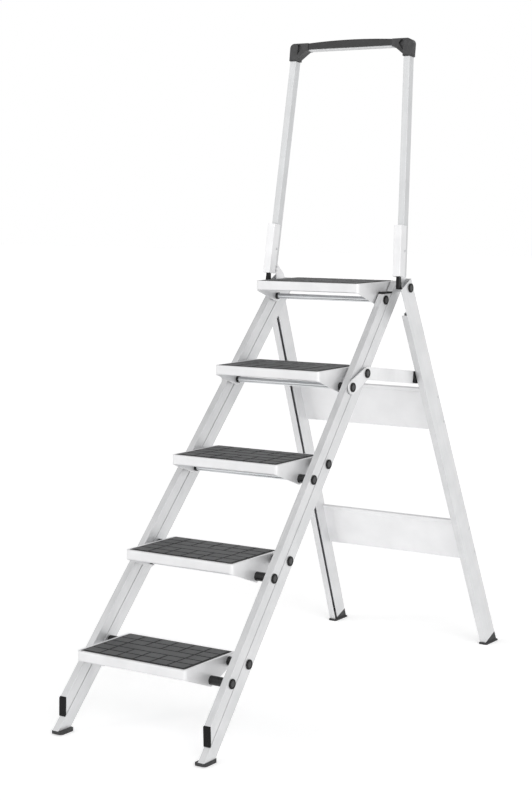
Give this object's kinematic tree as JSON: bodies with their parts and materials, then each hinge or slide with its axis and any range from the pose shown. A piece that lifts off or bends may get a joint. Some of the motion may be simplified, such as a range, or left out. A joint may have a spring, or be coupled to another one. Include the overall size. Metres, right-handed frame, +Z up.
{
  "type": "step ladder",
  "caption": "Folding step ladder with hinged treads on twin parallel stiles, a rear leg frame on spreader links and a tall hoop handrail.",
  "frame": {"origin": "on the floor, under the middle of the bounding box", "axes": "+Z up, +Y from the front feet to the rear legs, +X to the right of someone who climbs"},
  "size_m": [0.5838, 1.531, 1.8528],
  "materials": {
    "satin_aluminium": "satin, lightly brushed along the extrusion",
    "tread_aluminium": "satin, bead blasted",
    "mat_rubber": "matt, moulded blocks",
    "black_plastic": "fine moulded grain",
    "foot_rubber": "matt",
    "grip_rubber": "soft, matt",
    "axle_aluminium": "bright drawn",
    "rivet_steel": "set heads"
  },
  "bodies": {
    "rear_stiles": {"rear_stile_right": "satin_aluminium", "rear_stile_left": "satin_aluminium", "front_foot_right": "foot_rubber", "front_foot_left": "foot_rubber"},
    "tread_1": {"tread_1_tray": "tread_aluminium", "tread_1_mat": "mat_rubber", "tread_1_axles": "axle_aluminium", "tread_1_spacers": "black_plastic", "tread_1_caps": "black_plastic"},
    "tread_2": {"tread_2_tray": "tread_aluminium", "tread_2_mat": "mat_rubber", "tread_2_axles": "axle_aluminium", "tread_2_spacers": "black_plastic", "tread_2_caps": "black_plastic"},
    "tread_3": {"tread_3_tray": "tread_aluminium", "tread_3_mat": "mat_rubber", "tread_3_axles": "axle_aluminium", "tread_3_spacers": "black_plastic", "tread_3_caps": "black_plastic"},
    "tread_4": {"tread_4_tray": "tread_aluminium", "tread_4_mat": "mat_rubber", "tread_4_axles": "axle_aluminium", "tread_4_spacers": "black_plastic", "tread_4_caps": "black_plastic", "spreader_link_right": "satin_aluminium", "spreader_link_left": "satin_aluminium", "spreader_pins": "axle_aluminium", "spreader_slider_pads": "black_plastic"},
    "tread_5": {"tread_5_tray": "tread_aluminium", "tread_5_mat": "mat_rubber", "tread_5_axles": "axle_aluminium", "tread_5_spacers": "black_plastic", "tread_5_caps": "black_plastic", "top_axle_sleeves": "satin_aluminium"},
    "front_stiles": {"front_stile_right": "satin_aluminium", "front_stile_left": "satin_aluminium", "front_stile_plugs": "black_plastic", "front_stile_caps": "black_plastic"},
    "back_frame": {"back_leg_right": "satin_aluminium", "back_leg_left": "satin_aluminium", "back_foot_right": "foot_rubber", "back_foot_left": "foot_rubber", "upper_back_panel": "satin_aluminium", "lower_back_panel": "satin_aluminium", "back_panel_rivets": "rivet_steel"},
    "handrail": {"handrail_tube_right": "satin_aluminium", "handrail_tube_left": "satin_aluminium", "handrail_channel_right": "satin_aluminium", "handrail_channel_left": "satin_aluminium", "handrail_pegs": "black_plastic", "handrail_bracket_right": "satin_aluminium", "handrail_bracket_left": "satin_aluminium", "handrail_rivets": "rivet_steel", "handrail_corner_right": "black_plastic", "handrail_corner_left": "black_plastic", "handrail_grip": "grip_rubber", "handrail_core": "satin_aluminium"}
  },
  "joints": [
    {"name": "tread_1_fold", "type": "hinge", "parent": "rear_stiles", "child": "tread_1", "pos_m": [0, -0.5539, 0.2127], "axis": [-1, 0, 0], "range_deg": [0, 125]},
    {"name": "tread_2_fold", "type": "hinge", "parent": "rear_stiles", "child": "tread_2", "pos_m": [0, -0.34714, 0.4433], "axis": [-1, 0, 0], "range_deg": [0, 125]},
    {"name": "tread_3_fold", "type": "hinge", "parent": "rear_stiles", "child": "tread_3", "pos_m": [0, -0.14038, 0.6739], "axis": [-1, 0, 0], "range_deg": [0, 125]},
    {"name": "tread_4_fold", "type": "hinge", "parent": "rear_stiles", "child": "tread_4", "pos_m": [0, 0.06638, 0.9045], "axis": [-1, 0, 0], "range_deg": [0, 125]},
    {"name": "tread_5_fold", "type": "hinge", "parent": "rear_stiles", "child": "tread_5", "pos_m": [0, 0.27314, 1.1351], "axis": [-1, 0, 0], "range_deg": [0, 125]},
    {"name": "front_stiles_fold", "type": "hinge", "parent": "tread_3", "child": "front_stiles", "pos_m": [0, -0.21938, 0.6419], "axis": [-1, 0, 0], "range_deg": [-125, 0]},
    {"name": "back_frame_fold", "type": "hinge", "parent": "rear_stiles", "child": "back_frame", "pos_m": [0, 0.27314, 1.1351], "axis": [-1, 0, 0], "range_deg": [0, 62]},
    {"name": "handrail_fold", "type": "hinge", "parent": "rear_stiles", "child": "handrail", "pos_m": [0, 0.27314, 1.1351], "axis": [-1, 0, 0], "range_deg": [0, 34.5]}
  ],
  "couplings": [
    {"joint": "tread_1_fold", "follows": "tread_3_fold", "ratio": 1},
    {"joint": "tread_2_fold", "follows": "tread_3_fold", "ratio": 1},
    {"joint": "tread_4_fold", "follows": "tread_3_fold", "ratio": 1},
    {"joint": "tread_5_fold", "follows": "tread_3_fold", "ratio": 1},
    {"joint": "front_stiles_fold", "follows": "tread_3_fold", "ratio": -1},
    {"joint": "back_frame_fold", "follows": "tread_3_fold", "ratio": 0.48624},
    {"joint": "handrail_fold", "follows": "tread_3_fold", "ratio": 0.27384}
  ]
}
